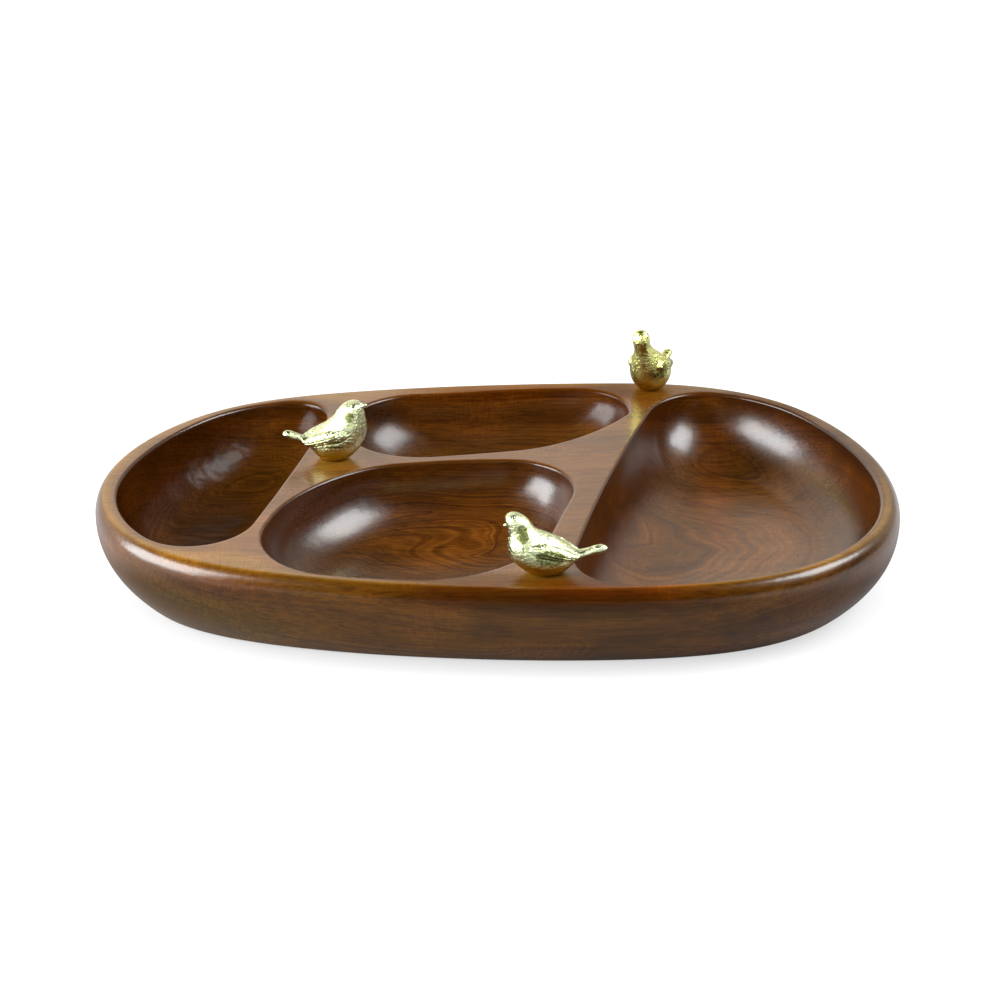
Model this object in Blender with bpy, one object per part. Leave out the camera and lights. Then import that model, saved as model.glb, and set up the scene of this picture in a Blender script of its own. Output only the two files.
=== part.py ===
# Wooden snack dish: one carved body with four compartments and three small cast birds,
# each held to the top of the wood by a hidden stud. Metres, +Z up, origin under the middle.
import math

import bmesh
import bpy
import numpy as np
from mathutils import Matrix, Vector

# Overall size of the wooden body
LENGTH = 0.400
WIDTH = 0.252
HEIGHT = 0.047

# Outside of the body: the top edge is rounded over, the wall leans in to a flat base
RIM_WIDTH = 0.0085
ROUNDOVER_RUN = 0.0035
ROUNDOVER_DROP = 0.009
BASE_INSET = 0.020
BASE_EDGE = 0.0015
WALL_POWER = 2.1

# Points of the outline seen from above, as shares of half the length and half the width,
# with the share of RIM_WIDTH that the hand-finished rim has there
OUTLINE_SHARES = (
    (1.000, -0.110, 1.06),
    (0.910, 0.480, 1.20),
    (0.722, 0.838, 0.94),
    (0.490, 0.981, 1.05),
    (0.264, 1.000, 1.06),
    (0.052, 0.987, 1.07),
    (-0.163, 0.958, 1.30),
    (-0.418, 0.898, 0.90),
    (-0.700, 0.745, 0.70),
    (-0.912, 0.393, 1.10),
    (-1.000, -0.108, 1.10),
    (-0.885, -0.595, 1.10),
    (-0.528, -0.880, 0.88),
    (-0.106, -0.985, 0.92),
    (0.335, -0.998, 0.80),
    (0.772, -0.812, 0.85),
    (0.962, -0.445, 1.00),
)

# Ridges between the compartments: how far the middle line bows to its left, and the width
# of the flat top at the start, in the middle and at the end
LEFT_RIDGE_BOW = 0.0020
LEFT_RIDGE_WIDTHS = (0.0096, 0.0048, 0.0032)
LEFT_RIDGE_SHARES = ((-0.3745, 0.873), (-0.6695, -0.873))
CROSS_RIDGE_BOW = 0.0030
CROSS_RIDGE_WIDTHS = (0.0107, 0.0052, 0.0261)
CROSS_RIDGE_SHARES = ((-0.460, 0.119), (0.300, 0.274))
RIGHT_RIDGE_BOW = -0.0056
RIGHT_RIDGE_WIDTHS = (0.0032, 0.0100, 0.0131)
RIGHT_RIDGE_SHARES = ((0.4265, 0.913), (0.1185, -0.913))

# Corner radii of the compartments, seen from above
LEFT_BACK_CORNER = 0.028
LEFT_FRONT_CORNER = 0.049
BACK_RIM_LEFT_CORNER = 0.025
BACK_CROSS_LEFT_CORNER = 0.060
BACK_CROSS_RIGHT_CORNER = 0.042
BACK_RIM_RIGHT_CORNER = 0.042
FRONT_RIM_LEFT_CORNER = 0.048
FRONT_CROSS_LEFT_CORNER = 0.041
FRONT_CROSS_RIGHT_CORNER = 0.045
FRONT_RIM_RIGHT_CORNER = 0.060
RIGHT_BACK_CORNER = 0.027
RIGHT_FRONT_CORNER = 0.036

# Bowls: rounded lip, curved wall, dished floor
LIP_RADIUS = 0.0015
WALL_RUN = 0.026
LEFT_WALL_RUN = 0.021
BOWL_DEPTH = 0.0335
FLOOR_DISH = 0.0025
WALL_SWEEP = math.radians(80)

# Where each bowl is swept from, as shares of half the length and half the width
LEFT_CENTRE_SHARES = (-0.700, 0.060)
BACK_CENTRE_SHARES = (0.000, 0.600)
FRONT_CENTRE_SHARES = (-0.200, -0.360)
RIGHT_CENTRE_SHARES = (0.600, 0.000)

# Cast birds, measured from the middle of the flat under the belly
BIRD_LENGTH = 0.050
BIRD_HEIGHT = 0.031
BIRD_WIDTH = 0.0206
WING_LENGTH = 0.026
WING_HEIGHT = 0.0108
WING_THICKNESS = 0.0080
BEAK_LENGTH = 0.0040
BEAK_RADIUS = 0.0018

# Sections of each bird from the tip of the tail to the crown: back point along and up,
# belly point along and up, and width, as shares of BIRD_LENGTH, BIRD_HEIGHT and BIRD_WIDTH
SECTION_SHARES = {
    "left": (
        (-0.528, 0.432, -0.524, 0.381, 0.15),
        (-0.492, 0.468, -0.484, 0.335, 0.23),
        (-0.380, 0.419, -0.372, 0.287, 0.27),
        (-0.276, 0.374, -0.286, 0.232, 0.39),
        (-0.196, 0.471, -0.224, 0.135, 0.64),
        (-0.124, 0.574, -0.140, 0.000, 0.87),
        (-0.060, 0.658, 0.010, -0.065, 0.99),
        (-0.012, 0.729, 0.172, 0.052, 1.00),
        (0.012, 0.794, 0.284, 0.277, 0.91),
        (0.036, 0.852, 0.324, 0.490, 0.78),
        (0.064, 0.903, 0.320, 0.671, 0.66),
        (0.100, 0.952, 0.300, 0.826, 0.56),
        (0.152, 0.981, 0.280, 0.929, 0.43),
        (0.200, 0.990, 0.248, 0.974, 0.16),
    ),
    "front": (
        (-0.566, 0.416, -0.560, 0.365, 0.15),
        (-0.530, 0.452, -0.520, 0.319, 0.23),
        (-0.400, 0.410, -0.392, 0.271, 0.27),
        (-0.280, 0.365, -0.290, 0.206, 0.39),
        (-0.210, 0.416, -0.226, 0.129, 0.64),
        (-0.110, 0.535, -0.130, 0.000, 0.87),
        (-0.010, 0.632, 0.060, -0.065, 0.99),
        (0.080, 0.684, 0.250, 0.077, 1.00),
        (0.120, 0.723, 0.364, 0.271, 0.90),
        (0.144, 0.774, 0.386, 0.484, 0.74),
        (0.166, 0.832, 0.384, 0.658, 0.60),
        (0.200, 0.897, 0.404, 0.819, 0.54),
        (0.260, 0.961, 0.404, 0.923, 0.41),
        (0.320, 0.990, 0.372, 0.974, 0.16),
    ),
    "back": (
        (-0.508, 0.387, -0.504, 0.335, 0.15),
        (-0.472, 0.419, -0.464, 0.290, 0.23),
        (-0.372, 0.394, -0.364, 0.265, 0.27),
        (-0.276, 0.374, -0.286, 0.226, 0.39),
        (-0.204, 0.465, -0.224, 0.135, 0.66),
        (-0.132, 0.568, -0.140, 0.000, 0.89),
        (-0.064, 0.658, 0.000, -0.065, 1.00),
        (0.004, 0.735, 0.152, 0.045, 0.95),
        (0.060, 0.806, 0.260, 0.303, 0.74),
        (0.104, 0.877, 0.292, 0.600, 0.50),
        (0.136, 0.961, 0.308, 0.819, 0.41),
        (0.160, 1.065, 0.340, 1.000, 0.44),
        (0.196, 1.155, 0.312, 1.123, 0.35),
        (0.236, 1.190, 0.272, 1.181, 0.13),
    ),
}
BEAK_CENTRE_SHARES = {"left": (0.294, 0.915), "front": (0.402, 0.775), "back": (0.334, 1.020)}
BEAK_PITCH = {"left": math.radians(4), "front": math.radians(-12), "back": math.radians(0)}
WING_CENTRE_SHARES = {"left": (-0.080, 0.415), "front": (-0.050, 0.395), "back": (-0.080, 0.415)}
WING_OUT_SHARE = 0.305
WING_PITCH = math.radians(14)
WING_TOE_IN = math.radians(9)
WING_TAPER_SHARE = 0.6

# Where the birds stand, as shares of half the length and half the width, and which way
# they look
PLACE_SHARES = {"left": (-0.411, 0.220), "front": (0.120, -0.828), "back": (0.402, 0.930)}
HEADING = {"left": math.radians(0), "front": math.radians(180), "back": math.radians(244)}

# Studs that hold the birds, and the gap that separate pieces keep
STUD_RADIUS = 0.0015
STUD_IN_WOOD = 0.0070
STUD_IN_BIRD = 0.0070
STUD_CHAMFER = 0.0003
GAP = 0.0003

# Finishes: colour, roughness and metallic value
WOOD = ((0.165, 0.062, 0.021), 0.22, 0.0)
GOLD = ((0.86, 0.80, 0.47), 0.18, 1.0)
STEEL = ((0.52, 0.52, 0.50), 0.35, 1.0)

# Number of points round each form
OUTLINE_POINTS = 112
BOWL_POINTS = 76
BIRD_POINTS = 16
CURVE_POINTS = 480
CHORD_STEPS = 3
ROUNDOVER_STEPS = 4
OUTER_WALL_STEPS = 6
LIP_STEPS = 2
BOWL_WALL_STEPS = 6
FLOOR_STEPS = 2


def closed_curve(points, count):
    """A smooth closed curve through the points, as evenly spaced places along it."""
    points = np.asarray(points, float)
    number = len(points)
    following = np.roll(points, -1, axis=0)
    gaps = np.linalg.norm(following[:, :2] - points[:, :2], axis=1)
    before = np.roll(gaps, 1)
    system = np.diag(2 * (before + gaps))
    for i in range(number):
        system[i, (i + 1) % number] += gaps[i]
        system[i, i - 1] += before[i]
    slopes = (following - points) / gaps[:, None]
    bends = np.linalg.solve(system, 6 * (slopes - np.roll(slopes, 1, axis=0)))
    fine = []
    for i in range(number):
        share = np.linspace(0, 1, CURVE_POINTS // number, endpoint=False)[:, None]
        bend = (2 - share) * bends[i] + (1 + share) * bends[(i + 1) % number]
        straight = points[i] * (1 - share) + following[i] * share
        fine.append(straight - gaps[i] ** 2 / 6 * share * (1 - share) * bend)
    return spread(np.concatenate(fine), count)


def spread(loop, count):
    """The closed loop again, as count evenly spaced places."""
    closed = np.vstack([loop, loop[:1]])
    steps = np.linalg.norm(np.diff(closed[:, :2], axis=0), axis=1)
    run = np.concatenate([[0], np.cumsum(steps)])
    places = np.linspace(0, run[-1], count, endpoint=False)
    return np.stack([np.interp(places, run, column) for column in closed.T], axis=1)


def inward(loop):
    """The direction into the loop at each place, square to the chord past its neighbours."""
    along = np.roll(loop, -CHORD_STEPS, axis=0) - np.roll(loop, CHORD_STEPS, axis=0)
    across = np.stack([-along[:, 1], along[:, 0]], axis=1)
    return across / np.linalg.norm(across, axis=1)[:, None]


def dish_outline(count):
    """The outline of the dish: where it runs and how wide the rim is there."""
    sizes = (LENGTH / 2, WIDTH / 2, RIM_WIDTH)
    curve = closed_curve(np.array(OUTLINE_SHARES) * sizes, count)
    return curve[:, :2], curve[:, 2]


def depth_inside(places, loop):
    """How far each place lies inside the loop, negative outside it."""
    edges = np.roll(loop, -1, axis=0) - loop
    away = places[:, None, :] - loop[None]
    share = np.clip((away * edges).sum(2) / (edges**2).sum(1), 0, 1)
    off = away - share[..., None] * edges
    distance = np.linalg.norm(off, axis=2)
    nearest = distance.argmin(1)
    row = np.arange(len(places))
    edge = edges[nearest]
    miss = off[row, nearest]
    turn = edge[:, 0] * miss[:, 1] - edge[:, 1] * miss[:, 0]
    return distance[row, nearest] * np.where(turn >= 0, 1, -1)


def ridge_side(places, shares, bow, widths, side):
    """How far each place lies beyond the edge of a ridge, on its left (1) or right (-1)."""
    start, end = np.array(shares) * (LENGTH / 2, WIDTH / 2)
    length = np.linalg.norm(end - start)
    along = (end - start) / length
    left = np.array([-along[1], along[0]])
    share = (places - start) @ along / length
    lean = 4 * bow * (1 - 2 * share) / length
    off = ((places - start) @ left - 4 * bow * share * (1 - share)) / np.hypot(1, lean)
    first, middle, last = widths
    width = first * (1 - share) * (1 - 2 * share) + last * share * (2 * share - 1)
    width = width + middle * 4 * share * (1 - share)
    return side * off - width / 2


def rounded(first, second, radius):
    """Depth inside two sides at once, with the corner between them rounded."""
    missing = np.hypot(np.maximum(radius - first, 0), np.maximum(radius - second, 0))
    return np.maximum(radius, np.minimum(first, second)) - missing


def left_ridge(places, side):
    return ridge_side(places, LEFT_RIDGE_SHARES, LEFT_RIDGE_BOW, LEFT_RIDGE_WIDTHS, side)


def cross_ridge(places, side):
    return ridge_side(places, CROSS_RIDGE_SHARES, CROSS_RIDGE_BOW, CROSS_RIDGE_WIDTHS, side)


def right_ridge(places, side):
    return ridge_side(places, RIGHT_RIDGE_SHARES, RIGHT_RIDGE_BOW, RIGHT_RIDGE_WIDTHS, side)


def between(places, front_radius, back_radius):
    """A corner radius that passes from the front one to the back one across the dish."""
    share = np.clip(places[:, 1] / WIDTH + 0.5, 0, 1)
    share = share * share * (3 - 2 * share)
    return front_radius + (back_radius - front_radius) * share


def left_bowl(places, rim, run):
    """Depth inside the left compartment, once each side has moved in by the run."""
    radius = between(places, LEFT_FRONT_CORNER, LEFT_BACK_CORNER)
    return rounded(depth_inside(places, rim) - run, left_ridge(places, -1) - run, radius)


def right_bowl(places, rim, run):
    """The same for the right compartment."""
    radius = between(places, RIGHT_FRONT_CORNER, RIGHT_BACK_CORNER)
    return rounded(depth_inside(places, rim) - run, right_ridge(places, 1) - run, radius)


def middle_bowl(places, rim, run, side, corners):
    """The same for a compartment between the left and right ridges."""
    sides = (
        depth_inside(places, rim) - run,
        left_ridge(places, 1) - run,
        cross_ridge(places, side) - run,
        right_ridge(places, -1) - run,
    )
    depths = [rounded(sides[i], sides[(i + 1) % 4], corners[i]) for i in range(4)]
    return np.minimum.reduce(depths)


def back_bowl(places, rim, run):
    """The same for the back compartment."""
    corners = (
        BACK_RIM_LEFT_CORNER,
        BACK_CROSS_LEFT_CORNER,
        BACK_CROSS_RIGHT_CORNER,
        BACK_RIM_RIGHT_CORNER,
    )
    return middle_bowl(places, rim, run, 1, corners)


def front_bowl(places, rim, run):
    """The same for the front compartment."""
    corners = (
        FRONT_RIM_LEFT_CORNER,
        FRONT_CROSS_LEFT_CORNER,
        FRONT_CROSS_RIGHT_CORNER,
        FRONT_RIM_RIGHT_CORNER,
    )
    return middle_bowl(places, rim, run, -1, corners)


def reach(bowl, rim, run, centre, directions):
    """Where the rays from the centre meet the edge of a bowl."""
    near = np.zeros(len(directions))
    far = np.full(len(directions), LENGTH)
    for _ in range(40):
        middle = (near + far) / 2
        inside = bowl(centre + directions * middle[:, None], rim, run) > 0
        near = np.where(inside, middle, near)
        far = np.where(inside, far, middle)
    return centre + directions * near[:, None]


def bowl_rings(bowl, rim, run, centre_shares):
    """Rings of one bowl from the flat top down to the middle of the floor."""
    centre = np.array(centre_shares) * (LENGTH / 2, WIDTH / 2)
    angles = np.linspace(0, math.tau, 4 * BOWL_POINTS, endpoint=False)
    rays = np.stack([np.cos(angles), np.sin(angles)], axis=1)
    lip = spread(reach(bowl, rim, 0, centre, rays), BOWL_POINTS)
    rays = (lip - centre) / np.linalg.norm(lip - centre, axis=1)[:, None]
    floor = reach(bowl, rim, LIP_RADIUS + run, centre, rays)
    rings = []
    for i in range(LIP_STEPS):
        angle = math.pi / 2 * i / LIP_STEPS
        inset = LIP_RADIUS * math.sin(angle)
        rings.append((inset, LIP_RADIUS * (1 - math.cos(angle))))
    for i in range(BOWL_WALL_STEPS + 1):
        angle = WALL_SWEEP * i / BOWL_WALL_STEPS
        inset = LIP_RADIUS + run * (1 - math.cos(angle)) / (1 - math.cos(WALL_SWEEP))
        drop = LIP_RADIUS + (BOWL_DEPTH - LIP_RADIUS) * math.sin(angle) / math.sin(WALL_SWEEP)
        rings.append((inset, drop))
    placed = []
    for inset, drop in rings:
        share = inset / (LIP_RADIUS + run)
        placed.append((lip + (floor - lip) * share, HEIGHT - drop))
    for i in range(1, FLOOR_STEPS + 1):
        share = 0.7 * i / FLOOR_STEPS
        drop = BOWL_DEPTH + FLOOR_DISH * (1 - (1 - share) ** 2)
        placed.append((floor + (centre - floor) * share, HEIGHT - drop))
    return placed


def outer_rings():
    """Rings of the outside, from the flat top over the rounded edge down to the base."""
    outline, _ = dish_outline(OUTLINE_POINTS)
    half = np.array((LENGTH / 2, WIDTH / 2))
    widest = HEIGHT - ROUNDOVER_DROP
    rings = []
    for i in range(ROUNDOVER_STEPS):
        angle = math.pi / 2 * i / ROUNDOVER_STEPS
        inset = ROUNDOVER_RUN * (1 - math.sin(angle))
        rings.append((inset, widest + ROUNDOVER_DROP * math.cos(angle)))
    for i in range(OUTER_WALL_STEPS + 1):
        height = widest + (BASE_EDGE - widest) * i / OUTER_WALL_STEPS
        inset = BASE_INSET * (1 - height / widest) ** WALL_POWER
        rings.append((inset, height))
    rings.append((BASE_INSET + BASE_EDGE, 0))
    return [(outline * (1 - inset / half), height) for inset, height in rings]


def add_ring(mesh, places, height):
    """A closed ring of edges at one height."""
    verts = [mesh.verts.new((x, y, height)) for x, y in places]
    return [mesh.edges.new((verts[i - 1], verts[i])) for i in range(len(verts))]


def skin(mesh, rings):
    """Joins each ring of edges to the next."""
    for i in range(len(rings) - 1):
        bmesh.ops.bridge_loops(mesh, edges=rings[i] + rings[i + 1])


def dish_mesh():
    """The carved body: outside, flat top, four bowls and the base as one closed skin."""
    outline, rim_widths = dish_outline(CURVE_POINTS)
    rim = outline + inward(outline) * rim_widths[:, None]
    bowls = (
        (left_bowl, LEFT_WALL_RUN, LEFT_CENTRE_SHARES),
        (back_bowl, WALL_RUN, BACK_CENTRE_SHARES),
        (front_bowl, WALL_RUN, FRONT_CENTRE_SHARES),
        (right_bowl, WALL_RUN, RIGHT_CENTRE_SHARES),
    )
    mesh = bmesh.new()
    outside = [add_ring(mesh, *ring) for ring in outer_rings()]
    skin(mesh, outside)
    top = list(outside[0])
    for bowl, run, centre in bowls:
        rings = [add_ring(mesh, *ring) for ring in bowl_rings(bowl, rim, run, centre)]
        skin(mesh, rings)
        bmesh.ops.triangle_fill(mesh, edges=rings[-1], use_beauty=True, normal=(0, 0, 1))
        top += rings[0]
    bmesh.ops.triangle_fill(mesh, edges=top, use_beauty=True, normal=(0, 0, 1))
    bmesh.ops.triangle_fill(mesh, edges=outside[-1], use_beauty=True, normal=(0, 0, -1))
    bmesh.ops.recalc_face_normals(mesh, faces=mesh.faces)
    return mesh


def bird_mesh(side):
    """The body of a bird, lofted from the tip of the tail to the crown, cut flat below."""
    mesh = bmesh.new()
    rings = []
    for back_x, back_z, belly_x, belly_z, width in SECTION_SHARES[side]:
        back = Vector((back_x * BIRD_LENGTH, 0, back_z * BIRD_HEIGHT))
        belly = Vector((belly_x * BIRD_LENGTH, 0, belly_z * BIRD_HEIGHT))
        centre = (back + belly) / 2
        verts = []
        for i in range(BIRD_POINTS):
            angle = math.tau * i / BIRD_POINTS
            across = Vector((0, width * BIRD_WIDTH / 2 * math.sin(angle), 0))
            verts.append(mesh.verts.new(centre + (back - centre) * math.cos(angle) + across))
        rings.append([mesh.edges.new((verts[i - 1], verts[i])) for i in range(BIRD_POINTS)])
    skin(mesh, rings)
    for ring in (rings[0], rings[-1]):
        bmesh.ops.contextual_create(mesh, geom=ring)
    whole = mesh.verts[:] + mesh.edges[:] + mesh.faces[:]
    cut = bmesh.ops.bisect_plane(
        mesh, geom=whole, plane_co=(0, 0, 0), plane_no=(0, 0, -1), clear_outer=True
    )
    edges = [part for part in cut["geom_cut"] if isinstance(part, bmesh.types.BMEdge)]
    bmesh.ops.contextual_create(mesh, geom=edges)
    bmesh.ops.recalc_face_normals(mesh, faces=mesh.faces)
    return mesh


def add_wing(mesh, side, out):
    """A folded wing on the left (1) or right (-1) of the body, narrower at its tip."""
    made = bmesh.ops.create_uvsphere(mesh, u_segments=14, v_segments=8, radius=1)
    verts = made["verts"]
    for vert in verts:
        vert.co.z *= 1 - WING_TAPER_SHARE * (1 - vert.co.x) / 2
    half = Vector((WING_LENGTH, WING_THICKNESS, WING_HEIGHT)) / 2
    bmesh.ops.scale(mesh, verts=verts, vec=half)
    pitch = Matrix.Rotation(-WING_PITCH, 3, "Y")
    toe_in = Matrix.Rotation(out * WING_TOE_IN, 3, "Z")
    bmesh.ops.rotate(mesh, verts=verts, cent=(0, 0, 0), matrix=toe_in @ pitch)
    along, up = WING_CENTRE_SHARES[side]
    place = (along * BIRD_LENGTH, out * WING_OUT_SHARE * BIRD_WIDTH, up * BIRD_HEIGHT)
    bmesh.ops.translate(mesh, verts=verts, vec=place)


def relief_mesh(side):
    """The beak and the folded wings, which are cast in one with the bird."""
    mesh = bmesh.new()
    made = bmesh.ops.create_cone(
        mesh, segments=10, radius1=BEAK_RADIUS, radius2=BEAK_RADIUS / 3, depth=BEAK_LENGTH, cap_ends=True
    )
    forward = Matrix.Rotation(math.pi / 2 - BEAK_PITCH[side], 3, "Y")
    bmesh.ops.rotate(mesh, verts=made["verts"], cent=(0, 0, 0), matrix=forward)
    along, up = BEAK_CENTRE_SHARES[side]
    place = (along * BIRD_LENGTH, 0, up * BIRD_HEIGHT)
    bmesh.ops.translate(mesh, verts=made["verts"], vec=place)
    add_wing(mesh, side, 1)
    add_wing(mesh, side, -1)
    bmesh.ops.recalc_face_normals(mesh, faces=mesh.faces)
    return mesh


def rod_mesh(radius, low, high, chamfer):
    """An upright rod between two heights, with its ends chamfered where asked."""
    mesh = bmesh.new()
    made = bmesh.ops.create_cone(
        mesh, segments=16, radius1=radius, radius2=radius, depth=high - low, cap_ends=True
    )
    bmesh.ops.translate(mesh, verts=made["verts"], vec=(0, 0, (low + high) / 2))
    if chamfer > 0:
        ends = [edge for edge in mesh.edges if abs(edge.verts[0].co.z - edge.verts[1].co.z) < chamfer]
        bmesh.ops.bevel(
            mesh, geom=ends, offset=chamfer, segments=1, profile=0.5, affect="EDGES", material=-1
        )
    return mesh


def material(name, finish):
    """A plain finish."""
    made = bpy.data.materials.new(name)
    made.use_nodes = True
    colour, roughness, metallic = finish
    shader = made.node_tree.nodes["Principled BSDF"]
    shader.inputs["Base Color"].default_value = (*colour, 1)
    shader.inputs["Roughness"].default_value = roughness
    shader.inputs["Metallic"].default_value = metallic
    made.diffuse_color = (*colour, 1)
    return made


def add_object(name, mesh, parent, finish=None):
    """An object made from the mesh, under its parent."""
    data = bpy.data.meshes.new(name)
    mesh.to_mesh(data)
    mesh.free()
    data.shade_smooth()
    data.set_sharp_from_angle(angle=math.radians(50))
    made = bpy.data.objects.new(name, data)
    bpy.context.scene.collection.objects.link(made)
    made.parent = parent
    if finish is None:
        made.hide_render = True
        made.display_type = "WIRE"
    else:
        data.materials.append(finish)
    return made


def combine(target, other, operation):
    """Adds the other shape to the target, or cuts it away."""
    change = target.modifiers.new(other.name, "BOOLEAN")
    change.operation = operation
    change.object = other
    change.solver = "EXACT"


def add_bird(side, dish, gold, steel):
    """One bird on its stud, with the bore that holds the stud cut in bird and wood."""
    x, y = np.array(PLACE_SHARES[side]) * (LENGTH / 2, WIDTH / 2)
    seat = bpy.data.objects.new(f"seat_{side}", None)
    bpy.context.scene.collection.objects.link(seat)
    seat.location = (x, y, HEIGHT)
    seat.rotation_euler = (0, 0, HEADING[side])
    bird = add_object(f"bird_{side}", bird_mesh(side), seat, gold)
    bird.location = (0, 0, GAP)
    relief = add_object(f"relief_{side}", relief_mesh(side), bird)
    stud = rod_mesh(STUD_RADIUS, -STUD_IN_WOOD, GAP + STUD_IN_BIRD, STUD_CHAMFER)
    add_object(f"stud_{side}", stud, seat, steel)
    bore = rod_mesh(STUD_RADIUS + GAP, -STUD_IN_WOOD - GAP, STUD_IN_BIRD + 2 * GAP, 0)
    bore = add_object(f"bore_{side}", bore, seat)
    combine(bird, relief, "UNION")
    combine(bird, bore, "DIFFERENCE")
    combine(dish, bore, "DIFFERENCE")


def main():
    for old in list(bpy.data.objects):
        bpy.data.objects.remove(old)
    wood = material("walnut_stained_wood", WOOD)
    gold = material("pale_gold_casting", GOLD)
    steel = material("steel_stud", STEEL)
    dish = add_object("dish_body", dish_mesh(), None, wood)
    for side in PLACE_SHARES:
        add_bird(side, dish, gold, steel)


main()
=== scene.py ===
"""Looks of the wooden snack dish with three cast birds, in metres, +Z up."""
import math

import bmesh
import bpy
import numpy as np
from mathutils import Matrix, Vector


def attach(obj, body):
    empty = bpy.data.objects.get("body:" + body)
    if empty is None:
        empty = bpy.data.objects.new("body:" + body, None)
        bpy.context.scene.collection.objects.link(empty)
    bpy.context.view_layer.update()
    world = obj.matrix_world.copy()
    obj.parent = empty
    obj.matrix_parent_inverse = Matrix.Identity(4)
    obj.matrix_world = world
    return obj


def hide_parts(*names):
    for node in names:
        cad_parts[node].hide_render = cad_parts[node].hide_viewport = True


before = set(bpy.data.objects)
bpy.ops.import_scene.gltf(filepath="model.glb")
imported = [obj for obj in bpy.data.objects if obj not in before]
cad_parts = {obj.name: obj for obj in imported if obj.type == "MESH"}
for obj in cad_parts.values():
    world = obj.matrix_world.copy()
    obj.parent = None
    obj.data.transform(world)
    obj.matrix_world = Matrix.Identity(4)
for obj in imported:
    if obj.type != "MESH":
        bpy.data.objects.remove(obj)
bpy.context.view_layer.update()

# Sizes of the wooden body
LENGTH = 0.400
WIDTH = 0.252
HEIGHT = 0.047
RIM_WIDTH = 0.0085
ROUNDOVER_RUN = 0.0035
ROUNDOVER_DROP = 0.009
BASE_INSET = 0.020
BASE_EDGE = 0.0015
WALL_POWER = 2.1
LIP_RADIUS = 0.0015
WALL_RUN = 0.026
LEFT_WALL_RUN = 0.021
BOWL_DEPTH = 0.0335
FLOOR_DISH = 0.0025
WALL_SWEEP = math.radians(80)

# Where the birds stand, the gap below them, and the bores for their studs
PLACES = {"left": (-0.0822, 0.02772), "front": (0.024, -0.104328), "back": (0.0804, 0.11718)}
GAP = 0.0003
BORE_RADIUS = 0.0018
BORE_DEPTH = 0.0073
BIRD_BORE_DEPTH = 0.0076

# Points of the outline seen from above, with the shares of the rim width and of the run of
# the rounded edge there
OUTLINE_SHARES = (
    (1.000, -0.110, 1.06, 1.75),
    (0.910, 0.480, 1.20, 1.65),
    (0.722, 0.838, 0.94, 1.25),
    (0.490, 0.981, 1.05, 1.00),
    (0.264, 1.000, 1.06, 1.00),
    (0.052, 0.987, 1.07, 1.00),
    (-0.163, 0.958, 1.30, 1.00),
    (-0.418, 0.898, 0.90, 1.00),
    (-0.700, 0.745, 0.70, 1.00),
    (-0.912, 0.393, 1.10, 1.00),
    (-1.000, -0.108, 1.10, 1.30),
    (-0.885, -0.595, 1.10, 1.75),
    (-0.528, -0.880, 0.88, 1.70),
    (-0.106, -0.985, 0.92, 1.55),
    (0.335, -0.998, 0.80, 1.50),
    (0.772, -0.812, 0.85, 1.60),
    (0.962, -0.445, 1.00, 1.75),
)

# Ridges between the compartments: bow of the middle line, widths and ends
LEFT_RIDGE = (0.0020, (0.0096, 0.0048, 0.0032), ((-0.3745, 0.873), (-0.6695, -0.873)))
CROSS_RIDGE = (0.0030, (0.0107, 0.0052, 0.0261), ((-0.460, 0.119), (0.300, 0.274)))
RIGHT_RIDGE = (-0.0056, (0.0032, 0.0100, 0.0131), ((0.4265, 0.913), (0.1185, -0.913)))

# Corner radii of the compartments: front and back of those at the ends, and for those in the
# middle where the rim meets the left ridge, that the cross ridge, that the right one, that the rim
LEFT_CORNERS = (0.049, 0.028)
RIGHT_CORNERS = (0.036, 0.027)
BACK_CORNERS = (0.025, 0.060, 0.042, 0.042)
FRONT_CORNERS = (0.048, 0.041, 0.045, 0.060)

# Middles of the compartments as shares of half the length and width
LEFT_CENTRE = (-0.700, 0.060)
BACK_CENTRE = (0.000, 0.600)
FRONT_CENTRE = (-0.200, -0.360)
RIGHT_CENTRE = (0.600, 0.000)

# How far the finer skin stays inside the widest points of the solid
HAIR = 0.00004

# Number of points round and down each form, and of halvings that find the edge of a bowl
OUTLINE_POINTS = 420
BOWL_POINTS = 320
CURVE_POINTS = 480
FINE_POINTS = 1920
RAYS = 960
CHORD_STEPS = 3
ROUNDOVER_STEPS = 14
OUTER_WALL_STEPS = 30
LIP_STEPS = 7
BOWL_WALL_STEPS = 36
FLOOR_STEPS = 16
BASE_EDGE_STEPS = 3
BORE_POINTS = 24
HALVINGS = 26

# How far the rings of a floor reach to its middle, and the flat top past its edges
FLOOR_SHARE = 0.94
LIP_SHARE = 0.25
ROUNDOVER_SHARE = 1.1

# Edges sharper than this are shaded as edges
SHARP_ANGLE = math.radians(60)


def closed_curve(points, count):
    """A smooth closed curve through the points, as evenly spaced places along it."""
    points = np.asarray(points, float)
    number = len(points)
    following = np.roll(points, -1, axis=0)
    gaps = np.linalg.norm(following[:, :2] - points[:, :2], axis=1)
    before = np.roll(gaps, 1)
    system = np.diag(2 * (before + gaps))
    for i in range(number):
        system[i, (i + 1) % number] += gaps[i]
        system[i, i - 1] += before[i]
    slopes = (following - points) / gaps[:, None]
    bends = np.linalg.solve(system, 6 * (slopes - np.roll(slopes, 1, axis=0)))
    fine = []
    for i in range(number):
        share = np.linspace(0, 1, FINE_POINTS // number, endpoint=False)[:, None]
        bend = (2 - share) * bends[i] + (1 + share) * bends[(i + 1) % number]
        straight = points[i] * (1 - share) + following[i] * share
        fine.append(straight - gaps[i] ** 2 / 6 * share * (1 - share) * bend)
    return spread(np.concatenate(fine), count)


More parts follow.
